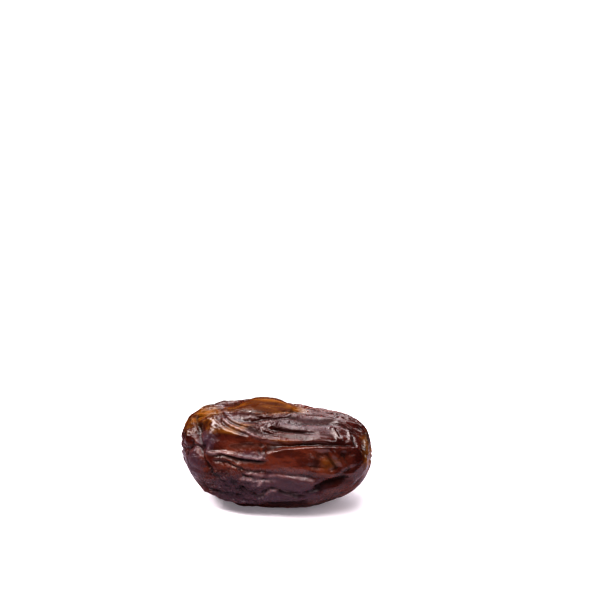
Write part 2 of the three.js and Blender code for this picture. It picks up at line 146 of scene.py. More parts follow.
# The long folds
# As the flesh dries and shrinks, its skin is left too large and gathers in folds: long ones from end to
# end, lips that hang over a crease, pads and short pleats. Those at the back wander.
PATH_STEPS = 16
FRONT_TURN = 2.8  # the folds of the front are turned up round the body by these degrees
FADE_SHARE = 0.25  # a fold rises over this share of its length at either end
FOLD_MARGIN = 7  # a fold is felt this many times its own width away
SHARP_BELOW = 0.5  # a ridge less blunt than this ends in a thin pinched edge
PINCH_SHARE = 0.3
PINCH_REACH = 0.22
# Each fold: its path in [along X, degrees round], the rise of its crest or the fall of its crease, how
# far it fades out above and below, and how blunt it is
FRONT_FOLDS = [
    # The long shoulder ridge from the stalk end to the tip, with the slack skin beside it
    (
        [[-13.9, 82], [-12.1, 62], [-9.3, 49], [-5.4, 41], [-0.9, 35.5], [5.1, 34], [10.7, 36], [18, 39]],
        0.75, 0.9, 0.7, 0.25,
    ),
    ([[-12.9, 84], [-11.4, 67], [-8.9, 55], [-5.8, 49.5], [-1.8, 50]], 0.5, 0.5, 0.4, 0.2),
    ([[-12.6, 76], [-11.3, 61], [-8.4, 51], [-4.6, 44.5]], -0.5, 0.35, 0.4, 0.2),
    ([[-15.4, 76], [-13.5, 60], [-12.2, 52], [-10.2, 43.5], [-7.2, 39], [-3.2, 36]], 0.75, 0.8, 1.4, 0.5),
    ([[-13.6, 70], [-12.3, 57], [-9.5, 45.5], [-6.1, 40.3], [-3, 38]], -0.6, 0.35, 0.35, 0.2),
    # The flat facet at the stalk end, between its bright edges and the deep crease that sets off the end
    ([[-17.2, 47], [-16.6, 38], [-15.8, 31], [-15.2, 27]], 0.5, 1.6, 0.35, 0.2),
    ([[-19.2, 78], [-18.4, 60], [-17.5, 43], [-16.7, 31], [-15.7, 22], [-14.6, 15]], -1.4, 0.9, 1.0, 0.4),
    ([[-19.5, 74], [-18.8, 60], [-18, 44]], 0.55, 0.4, 0.4, 0.2),
    ([[-18.3, 63], [-17, 58.5], [-15.2, 58], [-14.2, 62]], 0.5, 0.8, 0.45, 0.2),
    ([[-18.2, 34], [-19.2, 20], [-20.6, 2]], -0.8, 0.6, 0.6, 0.4),
    ([[-19.9, 56], [-20, 40], [-20.4, 24]], 0.4, 0.5, 0.5, 0.3),
    # The overhanging lip along the middle, the hollow over it and the crease under it
    (
        [[-11.5, 18], [-9.5, 17], [-6.5, 15.4], [-4.2, 14.6], [-1.8, 15], [-0.4, 22]],
        0.52, 0.42, 0.22, 0.16,
    ),
    (
        [[-15.8, 20], [-14.4, 17], [-12.7, 16.6], [-10.7, 18.5], [-9.1, 17], [-7.5, 16]],
        0.3, 0.3, 0.25, 0.16,
    ),
    ([[-14, 20.5], [-12, 20.5], [-9.5, 21.5]], -0.25, 0.5, 0.4, 0.3),
    (
        [[-14.8, 11.5], [-12.6, 13], [-9.5, 16.2], [-7, 13.4], [-4, 12.9], [-1.2, 12], [0.6, 14.5]],
        -0.55, 0.25, 0.4, 0.16,
    ),
    ([[-2.4, 26], [-2.1, 20], [-2.2, 14.5]], -0.35, 0.3, 0.3, 0.2),
    ([[-1.2, 26], [-0.9, 20], [-0.9, 14.5]], -0.35, 0.3, 0.3, 0.2),
    ([[-3.5, 25], [-3.3, 20], [-3.4, 15]], -0.18, 0.3, 0.3, 0.1),
    ([[-5, 25], [-4.7, 20], [-4.8, 15.5]], -0.12, 0.3, 0.3, 0.1),
    (
        [
            [0.4, 19.5], [1.6, 22], [3.8, 24.7], [7.2, 26.4],
            [10.7, 28.4], [14.3, 30], [17.1, 32], [20.4, 35],
        ],
        0.4, 0.35, 1.0, 0.16,
    ),
    ([[3.6, 29.3], [7, 30.7], [10.5, 32.3], [14, 33], [19.4, 36]], -0.38, 0.6, 0.35, 0.3),
    # The crease below the lip, with its beaded upper edge
    (
        [[-14.6, 10], [-12.5, 7.5], [-9.7, 8.5], [-7.5, 4.5], [-4.5, 1.5], [-0.6, 1.5], [3, 0.5]],
        -0.4, 0.3, 0.9, 0.16,
    ),
    ([[-13.8, 12.5], [-11.2, 10.7], [-9.2, 11], [-7.5, 7.5], [-5.5, 5.5]], 0.3, 0.35, 0.3, 0.2),
    ([[-8, 7], [-4.5, 4], [-1.5, 4]], 0.12, 0.35, 0.3, 0.2),
    ([[-10, 3], [-7, -1.5], [-4, -3.2], [-1, -4], [0.8, -2]], 0.15, 0.5, 0.5, 0.3),
    # Short pleats across the skin near the tip
    ([[11.4, 30], [11.3, 21], [11.1, 11], [10.7, 2]], -0.35, 1.0, 1.4, 0.8),
    ([[12.1, 29], [13.5, 20.5], [14.8, 10.5], [16.1, -3]], -0.4, 1.0, 1.2, 0.8),
    ([[15.6, 30], [17.2, 19.5], [18, 7], [18.5, -6]], -0.4, 1.0, 1.2, 0.8),
    ([[13.9, 28], [15.5, 20], [16.8, 10], [17.5, -2]], 0.3, 0.6, 0.5, 0.4),
    # The plates of dried skin low on the front
    (
        [[-0.8, -5.5], [1.3, -3], [2.9, -2.5], [5.8, -4.5], [8.2, -8], [10.6, -11], [12, -15.5]],
        0.25, 0.45, 0.9, 0.3,
    ),
    (
        [[-7.4, -15], [-6.4, -10.5], [-4.4, -9], [-3.4, -11.5], [-0.8, -10.5], [0.8, -13]],
        0.25, 0.45, 0.9, 0.3,
    ),
    (
        [[-6.6, -7.5], [-4.2, -6.5], [-2.8, -8.8], [-0.5, -7.8], [0.8, -9.8], [0.3, -15]],
        -0.35, 0.4, 0.25, 0.16,
    ),
    (
        [[-6.4, -28], [-2, -27.5], [-0.6, -20.5], [1, -18], [3.6, -21.5], [6, -24.5], [9.6, -30]],
        -0.5, 0.5, 0.4, 0.2,
    ),
    (
        [[-7.4, -31], [-1.6, -31], [0.2, -23.5], [1.6, -22], [4.8, -27.5], [8.4, -36]],
        0.45, 0.25, 1.0, 0.16,
    ),
    ([[1.2, -22.5], [4, -24], [7.5, -30]], -0.35, 0.3, 0.3, 0.16),
    ([[9.6, -30], [6.5, -41], [2, -44], [-3, -46]], -0.3, 0.6, 0.6, 0.3),
    (
        [[10.2, -30], [11, -22], [12.8, -16], [15.3, -13.5], [17.2, -11], [18.8, -8.5]],
        -0.7, 1.2, 1.6, 0.5,
    ),
    # The smooth cheek at the stalk end
    (
        [
            [-21.6, 18], [-20, 20], [-18.2, 24], [-16.6, 21],
            [-15.4, 13], [-14.2, 3], [-12.8, -7], [-11, -13],
        ],
        -0.75, 0.4, 0.8, 0.2,
    ),
    ([[-12.2, -10], [-9.8, -20], [-8.4, -30]], -0.4, 0.6, 0.6, 0.4),
    # Long folds over the top
    ([[-0.2, 78], [3.8, 73], [7, 71], [10.8, 76], [15.5, 74], [19.4, 68]], 0.45, 0.9, 0.9, 0.5),
    ([[3.2, 60], [5.7, 56.5], [7.5, 58.5], [11.3, 61.5], [13.4, 65], [17.8, 70]], -0.3, 0.4, 0.25, 0.1),
    ([[-3.2, 58], [-0.2, 53.5], [4.8, 50], [9.6, 50], [13.8, 56]], 0.2, 0.8, 1.0, 0.6),
    ([[-3, 47], [2.1, 46], [4.9, 45], [7.7, 45.5], [12, 46.5]], -0.25, 0.3, 0.25, 0.1),
    ([[0.4, 44], [5, 41.5], [10.1, 40.5], [15.4, 41]], 0.35, 0.4, 0.6, 0.6),
    ([[13.7, 60], [14.6, 53], [15.6, 45], [16.8, 39]], 0.5, 0.3, 0.35, 0.2),
    ([[14.5, 60], [15.4, 52], [16.4, 44]], -0.3, 0.3, 0.3, 0.2),
    ([[-10.6, 60], [-6, 57], [-1, 61.5], [3, 65]], -0.3, 0.4, 0.3, 0.1),
    ([[-9.4, 68], [-5, 63], [-1.5, 67]], 0.2, 0.5, 0.4, 0.3),
    ([[-10.6, 84], [-7, 76], [-2, 75], [2.6, 79], [7, 90]], -0.25, 0.4, 0.5, 0.3),
    ([[-5.6, 72], [-5, 67], [-5.4, 63]], 0.3, 0.3, 0.3, 0.16),
    ([[-2.2, 72], [-1.6, 66], [-2.2, 62]], 0.3, 0.3, 0.3, 0.16),
    ([[-5, 116], [2, 110], [8, 101]], -0.6, 0.8, 0.7, 0.4),
    ([[-9, 92], [-4, 91], [1, 90], [4.6, 86]], 0.3, 0.4, 0.4, 0.2),
    ([[-7.5, 99], [-2, 98.5], [3.5, 94]], 0.25, 0.4, 0.4, 0.2),
    ([[2.2, 93], [3.4, 87], [3.6, 82]], 0.35, 0.3, 0.5, 0.2),
    # Folds that run in round the tip
    ([[17.2, 66], [18.2, 55], [18.2, 46], [19.4, 38]], 0.4, 0.35, 0.35, 0.2),
    ([[17.8, 62], [19.2, 54], [19.4, 45], [20.4, 38]], -0.4, 0.4, 0.4, 0.2),
    ([[21.4, 28], [21.6, 8], [21.2, -12], [19.8, -30]], 0.35, 0.4, 0.5, 0.5),
    ([[21.6, -6], [20.6, -26], [18.4, -44]], -0.35, 0.4, 0.5, 0.5),
]
BACK_FOLD_COUNT = 35
BACK_FROM = 116  # degrees round the body where these folds begin, behind the top
BACK_TO = 322  # and where they end, under the front
BACK_SEED = 4177
BACK_BLUNTNESS = 0.25
BACK_LENGTH = (9, 20)  # each fold's draw adds up to the second to the first
BACK_RISE = (0.5, 0.5)
BACK_ABOVE = (0.6, 0.7)
BACK_BELOW = (0.5, 0.5)
BACK_HALF_RUN = 20  # none of them runs further than this from the middle
BACK_SHARES = (0, 0.25, 0.5, 0.75, 1)
LEAN_DRAW = 26  # degrees
WANDER_DRAW = 9  # degrees
SEED_FACTOR = 16807
SEED_RANGE = 2147483647


def smoothstep(value, low, high):
    share = np.clip((value - low) / (high - low), 0, 1)
    return share * share * (3 - 2 * share)


def draws_from(seed):
    state = seed
    while True:
        state = (state * SEED_FACTOR) % SEED_RANGE
        yield state / SEED_RANGE


def one_of(least_and_more, draws):
    least, more = least_and_more
    return least + more * next(draws)


def back_folds():
    draws = draws_from(BACK_SEED)
    made = []
    for i in range(BACK_FOLD_COUNT):
        level = BACK_FROM + (BACK_TO - BACK_FROM) * (i + next(draws)) / BACK_FOLD_COUNT
        length = one_of(BACK_LENGTH, draws)
        start = -BACK_HALF_RUN + (2 * BACK_HALF_RUN - length) * next(draws)
        lean = LEAN_DRAW * (next(draws) - 0.5)
        path = []
        for share in BACK_SHARES:
            degrees = level + lean * (share - 0.5) + WANDER_DRAW * (next(draws) - 0.5)
            path.append([start + length * share, degrees])
        rise = one_of(BACK_RISE, draws) * (1 if i % 2 == 0 else -1)
        above = one_of(BACK_ABOVE, draws)
        below = one_of(BACK_BELOW, draws)
        made.append((path, rise, above, below, BACK_BLUNTNESS))
    return made


# Points of the plain skin at places along X and degrees round it.
def skin_over(x, degrees):
    around = np.radians(degrees)
    power = fullness(around)
    inside = 1 - (np.abs(x) / HALF_LENGTH) ** power
    return skin_at(x, section_radius(around) * inside ** (1 / power), around)[0]


# A smooth line through a path's points, as short straight steps on the plain skin.
def traced(path, turn):
    points = np.array(path, float) + np.array([0.0, turn])
    points = np.vstack([2 * points[0] - points[1], points, 2 * points[-1] - points[-2]])
    spans = len(path) - 1
    at = np.linspace(0, spans, PATH_STEPS + 1)
    i = np.minimum(at.astype(int), spans - 1)
    t = (at - i)[:, None]
    a, b, c, d = points[i], points[i + 1], points[i + 2], points[i + 3]
    cubic = 2 * b + (c - a) * t + (2 * a - 5 * b + 4 * c - d) * t**2 + (3 * b - a - 3 * c + d) * t**3
    x, degrees = (0.5 * cubic).T
    return skin_over(x, degrees)


# How high one fold lifts the body's skin, point by point.
def fold_rise(fold, turn):
    path, rise, above, below, blunt = fold
    places = traced(path, turn)
    margin = FOLD_MARGIN * max(above, below)
    near = np.all((body > places.min(0) - margin) & (body < places.max(0) + margin), axis=-1)
    spot, out = body[near], body_out[near]
    nearest = np.full(len(spot), np.inf)
    share_along = np.zeros(len(spot))
    side = np.ones(len(spot))
    for i, (start, end) in enumerate(zip(places, places[1:])):
        step = end - start
        share = np.clip((spot - start) @ step / (step @ step), 0, 1)
        off = spot - start - share[:, None] * step
        gap = np.linalg.norm(off, axis=1)
        closer = gap < nearest
        nearest[closer] = gap[closer]
        share_along[closer] = (i + share[closer]) / PATH_STEPS
        side[closer] = (np.cross(step, off[closer]) * out[closer]).sum(axis=1)
    fade = smoothstep(share_along, 0, FADE_SHARE) * smoothstep(1 - share_along, 0, FADE_SHARE)
    reach = np.where(side > 0, above, below)
    distance = np.hypot(nearest, blunt) - blunt
    risen = np.zeros(body_x.shape)
    risen[near] = rise * fade * np.exp(-distance / reach)
    if rise > 0 and blunt < SHARP_BELOW:
        pinched = np.exp(-distance / PINCH_REACH) - np.exp(-distance / reach)
        risen[near] += PINCH_SHARE * rise * fade * pinched
    return risen


rise = np.zeros(body_x.shape)
for fold in FRONT_FOLDS:
    rise += fold_rise(fold, FRONT_TURN)
for fold in back_folds():
    rise += fold_rise(fold, 0)


# The swellings and the sunk places
# The soft flesh shrinks unevenly. It leaves a blister on top, a cheek at the stalk end, plates low on the
# front and hollows between them, all under the same skin.
# Each place: its middle in [along X, degrees round], the rise, the half-length and half-width, and how
# abruptly it ends: 1 for a soft mound, higher for a flat plate
SWELLS = [
    ([-2.4, 98], 1.3, 5.6, 2.8, 1.4),  # the blister on top
    ([11, 92], -1.2, 8.5, 8, 1),  # the sunk back of the tip half
    ([-11.5, 98], -0.45, 3, 6, 1),
    ([-17.2, 4], 0.7, 3.6, 4.6, 1.6),  # the cheek
    ([-16.8, 15], -0.35, 1.6, 1.8, 1),
    ([-21.4, -14], -0.7, 2.4, 5, 1),  # the cut-away foot of the stalk end
    ([-12, -36], 0.5, 4.5, 4, 1),  # the soft flesh under the cheek
    ([5, -10], 0.35, 6, 2, 2),  # the plates low on the front
    ([-3.4, -14], 0.3, 3.6, 2, 2),
    ([2.6, -28], 0.3, 6, 1.6, 1.5),
    ([14.4, -13], -0.6, 3.4, 1.6, 1),  # the hollow beside the plates
    ([9.5, -42], 0.6, 3.4, 2.6, 1),
    ([5.6, 17], 0.5, 5.4, 3, 1.4),  # the smooth middle of the front
    ([-6.5, 34], -0.25, 6.5, 1.8, 1),
    ([-16.2, 50], -0.5, 1.7, 2.6, 1.5),  # the facet at the stalk end
    ([19.6, 8], 0.4, 3, 5, 1.2),
    ([19.4, 62], -0.6, 3.4, 5, 1),
]


# How far the body's skin is from the middle of a place, in its own half-lengths and half-widths, squared.
def away_from(place, long, wide):
    x, degrees = place
    centre = skin_over(np.array([x], float), np.array([degrees], float))[0]
    off = body - centre
    return (off[..., 0] / long) ** 2 + (np.hypot(off[..., 1], off[..., 2]) / wide) ** 2


for place, height, long, wide, edge in SWELLS:
    rise += height * np.exp(-(away_from(place, long, wide) ** edge))


# The crumples
# Between its folds the drying skin crumples into sharp little ridges with finer creases below them. It
# stays smooth where the flesh is full, and the spot that the fruit lies on is pressed smooth too.
# Each crumple: a seed, the wavelength, how far it is drawn out along X, and the height
CRUMPLES = [(21, 6, 4, 0.13), (22, 3.2, 4, -0.08), (23, 1.8, 2.5, 0.045)]
CRUMPLE_WANDER = 0.7  # how far the crumples stray from straight ones
WANDER_LENGTH = 9
WANDER_SEEDS = (31, 32, 33)
DRIFT_WAVES = 12
ROUGH_LEAST = 0.3  # how crumpled the skin is anywhere
ROUGH_GAIN = 0.8  # and how much more so in the rough places
PLACE_EDGE = 1.5  # how abruptly a rough, smooth, taut or coloured place ends
REST_HALF_LENGTH = 11.0
REST_HALF_WIDTH = 5.0
REST_CALM = 0.7  # no folds inside this share of the spot's size
REST_CREASED = 1.7  # and full ones outside this one
END_CALM = 3  # the folds also fade out at this distance from the ends of the axis
# Each place from here on: its middle in [along X, degrees round], its half-length and half-width, and its
# strength
ROUGH_PLACES = [
    ([-8, -22], 7, 6, 3.0),
    ([-18, 4], 4, 5, 0.5),
    ([6, -20], 12, 5, 0.4),
    ([-16, 70], 6, 6, 0.7),
    ([-1, 66], 9, 3, 0.6),
    ([-2, 47], 5, 3, 1.5),
    ([0, 150], 18, 9, 0.9),
    ([0, 210], 20, 9, 0.9),
    ([0, 270], 20, 9, 0.7),
]
SMOOTH_PLACES = [
    ([6, 15], 8, 5, 0.75),
    ([14, -6], 7, 6, 0.95),
    ([13, 58], 6, 6, 0.75),
    ([-2, 100], 6, 3, 0.8),
    ([-8, 36], 6, 3, 0.8),
    ([-16, 36], 2, 3, 0.8),
    ([-13.8, 51], 3, 3, 0.9),
    ([-14.2, 22], 2, 2, 0.8),
    ([-10, 93], 3.5, 5, 0.7),
    ([20.5, 20], 3, 9, 0.8),
]


# How strongly a list of places covers the skin.
def places_over(places):
    cover = np.zeros(body_x.shape)
    for place, long, wide, strength in places:
        cover = np.maximum(cover, strength * np.exp(-(away_from(place, long, wide) ** PLACE_EDGE)))
    return cover


# A smooth wandering field over some points, about -1 to 1, from a few waves in seeded directions.
def drift(points, seed, wavelength, stretch=1.0):
    draws = np.random.default_rng(seed)
    waves = draws.normal(size=(DRIFT_WAVES, 3)) * 2 * math.pi / wavelength
    waves[:, 0] /= stretch
    turns = draws.uniform(0, 2 * math.pi, DRIFT_WAVES)
    total = sum(np.sin(points @ wave + turn) for wave, turn in zip(waves, turns))
    return total * math.sqrt(2 / DRIFT_WAVES)


strays = [drift(body, seed, WANDER_LENGTH) for seed in WANDER_SEEDS]
wandered = body + CRUMPLE_WANDER * np.stack(strays, axis=-1)
crumple = np.zeros(body_x.shape)
for seed, wavelength, stretch, height in CRUMPLES:
    crumple += height * (0.5 - np.abs(drift(wandered, seed, wavelength, stretch)))
rough = (ROUGH_LEAST + ROUGH_GAIN * places_over(ROUGH_PLACES)) * (1 - places_over(SMOOTH_PLACES))
rise += crumple * rough
underneath = np.hypot(body[..., 0] / REST_HALF_LENGTH, body[..., 1] / REST_HALF_WIDTH)
underneath = np.where(body[..., 2] < 0, underneath, REST_CREASED)
free = smoothstep(underneath, REST_CALM, REST_CREASED)
rise *= free * smoothstep(body_radius, 0, END_CALM)


# The two ends
# The stalk has come away from one end and left a sunk scar, and the tip is closed by a smaller one. Each
# has a low rim, and the skin gathers in short pleats round it.
SCAR_RADIUS = 2.3
SCAR_DEPTH = 1.5
TIP_RADIUS = 1.3
TIP_DEPTH = 0.7
SCAR_EDGE = 4  # how abruptly the scar ends
RIM_SHARE = 0.15  # the height of the rim, as a share of the scar's depth
RIM_PLACE = 1.5  # where the rim stands and how wide it is, in radii of the scar
RIM_WIDTH = 0.6
PUCKER_FROM = 0.4  # where the gathered pleats begin and are full, in radii of the scar
PUCKER_FULL = 1.4
PUCKER_REACH = 6  # how far from the axis they run
PUCKER_WIDTH = 0.4  # how much wider the pleats are than the gaps between them
# The pleats of each end: how many, their rise, and how far they are turned
STALK_PUCKERS = (9, 0.25, 0.4)
TIP_PUCKERS = (7, 0.14, 1.3)


def end_rise(scar_radius, depth, puckers):
    count, height, turn = puckers
    bowl = -depth * np.exp(-((body_radius / scar_radius) ** SCAR_EDGE))
    off_rim = (body_radius - RIM_PLACE * scar_radius) / (RIM_WIDTH * scar_radius)
    rim = RIM_SHARE * depth * np.exp(-(off_rim**2))
    gathered = smoothstep(body_radius, PUCKER_FROM * scar_radius, PUCKER_FULL * scar_radius)
    gathered *= 1 - smoothstep(body_radius, scar_radius, PUCKER_REACH)
    wave = np.cos(count * around + turn + np.sin(2 * around))
    return bowl + rim + height * gathered * (wave - PUCKER_WIDTH * wave * wave)


stalk_end = end_rise(SCAR_RADIUS, SCAR_DEPTH, STALK_PUCKERS)
tip_end = end_rise(TIP_RADIUS, TIP_DEPTH, TIP_PUCKERS)
rise += np.where(body_x < 0, stalk_end, tip_end)
flesh = body + body_out * rise[..., None]


# The fine wrinkles
# The skin is a thin sheet, larger than the flesh it lies on. Pushed together it buckles into fine
# wrinkles along the fruit, which the flesh holds where it still sticks to the skin.
SLACK_AROUND = 0.26  # how much larger than the flesh the skin is
SLACK_ALONG = 0.06
STRETCH_STIFFNESS = 0.45  # how much of its own stretch and bend the sheet takes back in a step
BEND_STIFFNESS = 0.03
STRAIGHT_SHARE = 0.5  # how the stiffness is shared out between the net's straight and diagonal threads
DIAGONAL_SHARE = 0.25
CREST_YIELD = 1.0  # the bend at which a crest gives way
SLIDE_HOLD = 0.3  # how hard the flesh holds it against sliding, as a share of its hold against rising
WRINKLE_SEED = 11
# Each net: how thinned it is, its steps, the height of its seeded bumps, how hard the flesh holds the
# skin against sinking in and against rising, and the bend at which a valley gives way to a sharp crease
NETS = [(2, 300, 0.05, 0.012, 0.006, 0.05), (1, 120, 0.025, 0.006, 0.003, 0.03)]
LOOSE_FROM = 1.5  # from how near the axis the skin is loose, and where it is fully so
LOOSE_FULL = 5
LOOSE_MEAN = 0.85  # how loose it is elsewhere, and how this drifts from place to place
LOOSE_SWING = 0.4
LOOSE_LEAST = 0.3
LOOSE_MOST = 1.4
LOOSE_SEED = 5
LOOSE_LENGTH = 22
LOOSE_STRETCH = 1.5
# Where the flesh is full or the skin sticks to it, so that the skin is taut
TAUT_PLACES = [
    ([0, 12], 30, 8.5, 0.7),
    ([-18, 5], 7, 9, 0.6),
    ([-13, 60], 8, 9, 0.5),
    ([-17, 30], 4, 5, 0.7),
    ([11, 80], 9, 7, 0.8),
    ([20.5, 25], 3, 9, 0.8),
    ([-4.5, 19], 5.5, 2.2, 1.0),
    ([-13.8, 51], 3, 3, 0.9),
    ([-14.2, 22], 2, 2, 0.8),
    ([-10, 93], 3.5, 5, 0.7),
]


def next_side(grid):
    return np.roll(grid, -1, axis=1)


def last_side(grid):
    return np.roll(grid, 1, axis=1)


def size_of(vectors):
    return np.linalg.norm(vectors, axis=-1)


def outward(grid):
    along = np.gradient(grid, axis=0)
    across = next_side(grid) - last_side(grid)
    normal = np.cross(along, across)
    return normal / np.maximum(size_of(normal), NEARLY_NOUGHT)[..., None]


def unevenness(grid):
    uneven = next_side(grid) + last_side(grid) - 2 * grid
    uneven[1:-1] += grid[2:] + grid[:-2] - 2 * grid[1:-1]
    return uneven


def tension(step, rest):
    return (1 - rest / np.maximum(size_of(step), NEARLY_NOUGHT))[..., None] * step


# The sheet after some steps. In each it stretches back to its own size, bends as little as it can, and is
# held by the flesh.
def buckled(skin, flesh, slack, steps, press_hold, lift_hold, crease_yield):
    rest_around = size_of(next_side(flesh) - flesh) * (1 + SLACK_AROUND * slack)
    rest_along = size_of(flesh[1:] - flesh[:-1]) * (1 + SLACK_ALONG * slack[:-1])
    rest_down = np.hypot((rest_around[:-1] + rest_around[1:]) / 2, (rest_along + next_side(rest_along)) / 2)
    rest_bend = unevenness(flesh)
    out = outward(flesh)
    for _ in range(steps):
        move = np.zeros_like(skin)
        beside = next_side(skin)
        pull = STRAIGHT_SHARE * tension(beside - skin, rest_around)
        move += pull - last_side(pull)
        pull = STRAIGHT_SHARE * tension(skin[1:] - skin[:-1], rest_along)
        move[:-1] += pull
        move[1:] -= pull
        pull = DIAGONAL_SHARE * tension(beside[1:] - skin[:-1], rest_down)
        move[:-1] += pull
        move[1:] -= last_side(pull)
        pull = DIAGONAL_SHARE * tension(skin[1:] - beside[:-1], rest_down)
        move[:-1] += last_side(pull)
        move[1:] -= pull
        skin = skin + STRETCH_STIFFNESS * move
        bent = unevenness(skin) - rest_bend
        give = np.where((bent * out).sum(axis=-1) > 0, crease_yield, CREST_YIELD)
        skin -= BEND_STIFFNESS * unevenness(bent / (1 + size_of(bent) / give)[..., None])
        off = skin - flesh
        risen = (off * out).sum(axis=-1)
        grip = np.where(risen < 0, press_hold, lift_hold)
        skin -= (grip * risen)[..., None] * out + SLIDE_HOLD * lift_hold * (off - risen[..., None] * out)
        skin[0] = flesh[0]
        skin[-1] = flesh[-1]
    return skin


# The net with twice its rings and sides, by cubic steps between its knots.
def refined(grid):
    rings, sides = grid.shape[:2]
    wide = np.empty((rings, 2 * sides, 3))
    wide[:, ::2] = grid
    wide[:, 1::2] = (9 * (grid + next_side(grid)) - last_side(grid) - np.roll(grid, -2, axis=1)) / 16
    padded = np.concatenate([2 * wide[:1] - wide[1:2], wide, 2 * wide[-1:] - wide[-2:-1]])
    tall = np.empty((2 * rings - 1, 2 * sides, 3))
    tall[::2] = wide
    tall[1::2] = (9 * (padded[1:-2] + padded[2:-1]) - padded[:-3] - padded[3:]) / 16
    return tall


# The sheet is worked on a coarse net first and then on a finer one.
drawn = np.random.default_rng(WRINKLE_SEED)
loose = LOOSE_MEAN + LOOSE_SWING * drift(body, LOOSE_SEED, LOOSE_LENGTH, LOOSE_STRETCH)
loose = free * smoothstep(body_radius, LOOSE_FROM, LOOSE_FULL) * loose.clip(LOOSE_LEAST, LOOSE_MOST)
loose *= 1 - places_over(TAUT_PLACES)
coarsest = NETS[0][0]
skin = flesh[::coarsest, ::coarsest]
for thinning, steps, bump_height, press_hold, lift_hold, crease_yield in NETS:
    net_flesh = flesh[::thinning, ::thinning]
    net_slack = loose[::thinning, ::thinning]
    if len(skin) < len(net_flesh):
        skin = refined(skin)
    bumps = bump_height * drawn.standard_normal(net_slack.shape) * net_slack
    skin = skin + bumps[..., None] * outward(net_flesh)
    skin = buckled(skin, net_flesh, net_slack, steps, press_hold, lift_hold, crease_yield)


# The skin in one sheet
# The finished skin as one closed sheet: it lies on its flat spot, with both ends lifted and leaning a
# little towards the better side.
METRES_PER_MM = 0.001

lean = (skin[..., 0] / HALF_LENGTH) ** 2
skin[..., 1] -= BEND * lean
skin[..., 2] += np.where(skin[..., 0] < 0, STALK_LIFT, TIP_LIFT) * lean
skin[..., 2] = np.maximum(0, skin[..., 2] + HALF_HEIGHT - PRESSED_FLAT)
skin_low, skin_high = skin.min(axis=(0, 1)), skin.max(axis=(0, 1))
skin[..., :2] -= (skin_low[:2] + skin_high[:2]) / 2

# A sphere with as many rings and sides, whose points are moved to the skin's
sphere = bmesh.new()
bmesh.ops.create_uvsphere(sphere, u_segments=SIDES, v_segments=RINGS, radius=1)
mesh = bpy.data.meshes.new("date_skin")
sphere.to_mesh(mesh)
sphere.free()
unit = np.empty(len(mesh.vertices) * 3)
mesh.vertices.foreach_get("co", unit)
unit = unit.reshape(-1, 3)
ring = np.rint(RINGS * np.arccos(np.clip(-unit[:, 2], -1, 1)) / math.pi).astype(int)
side = np.rint(SIDES * np.arctan2(unit[:, 1], unit[:, 0]) / (2 * math.pi)).astype(int) % SIDES
mesh.vertices.foreach_set("co", (skin[ring, side] * METRES_PER_MM).astype(np.float32).ravel())
mesh.update()
sheet = bmesh.new()
sheet.from_mesh(mesh)
if sheet.calc_volume(signed=True) < 0:
    bmesh.ops.reverse_faces(sheet, faces=sheet.faces)
    sheet.to_mesh(mesh)
sheet.free()
for polygon in mesh.polygons:
    polygon.use_smooth = True


# Where the colours lie
# A date ripens and dries unevenly: its skin is red-brown where it is taut over ripe flesh, amber where it
# stands off as a dry film, and dusty with its own bloom where nothing has rubbed it. The bloom's places
# also carry a painted sheen, grey-purple, that stands for the pale floor and room mirrored in the skin.
AMBER_PLACES = [
    ([-1.5, 96], 9, 5, 1.2),
    ([-18.5, 82], 6, 6.5, 0.85),
    ([-14, 68], 3, 3, 0.6),
    ([-9.5, 50], 5, 2.4, 0.75),
    ([-13.5, 52], 3, 2.6, 0.7),
    ([-10, 93], 3.5, 5, 0.6),
    ([2.5, 34.5], 3.4, 1.1, 0.5),
    ([22.5, 55], 3.5, 7, 0.75),
    ([22.5, 20], 3, 7, 0.75),
    ([14, 14], 3, 3, 0.55),
    ([8, -36], 8, 2, 0.4),
    ([-8, 190], 8, 5, 0.7),
    ([12, 150], 7, 4, 0.6),
    ([18, 230], 5, 5, 0.5),
]
# Where the skin is dusty with bloom, and where a painted sheen of the mirrored floor and room is laid on it
BLOOM_AND_SHEEN_PLACES = [
    ([-4, 19], 4.5, 1.7, 0.85),
    ([-17, 14], 2, 2, 0.5),
    ([4, 9], 10, 5, 0.35),
    ([2, -18], 13, 6, 1.0),
    ([-8, -28], 7, 6, 0.9),
    ([-18, 0], 4, 5, 0.85),
    ([-15.3, 33], 3.4, 3, 0.9),
    ([8, 60], 10, 4, 0.5),
    ([0, 200], 14, 5, 0.6),
]
RIPE_PLACES = [
    ([4, 15], 17, 6, 1.0),
    ([-6, 31], 7, 3, 0.65),
    ([-17, 10], 4, 4.5, 0.9),
    ([-17, 28], 1.5, 3, 1.0),
    ([14, -32], 6, 3, 0.3),
    ([8, 130], 12, 5, 0.7),
    ([-10, 160], 10, 6, 0.8),
    ([8, 195], 14, 6, 1.0),
    ([-6, 245], 14, 7, 0.7),
    ([16, 290], 6, 6, 0.5),
]
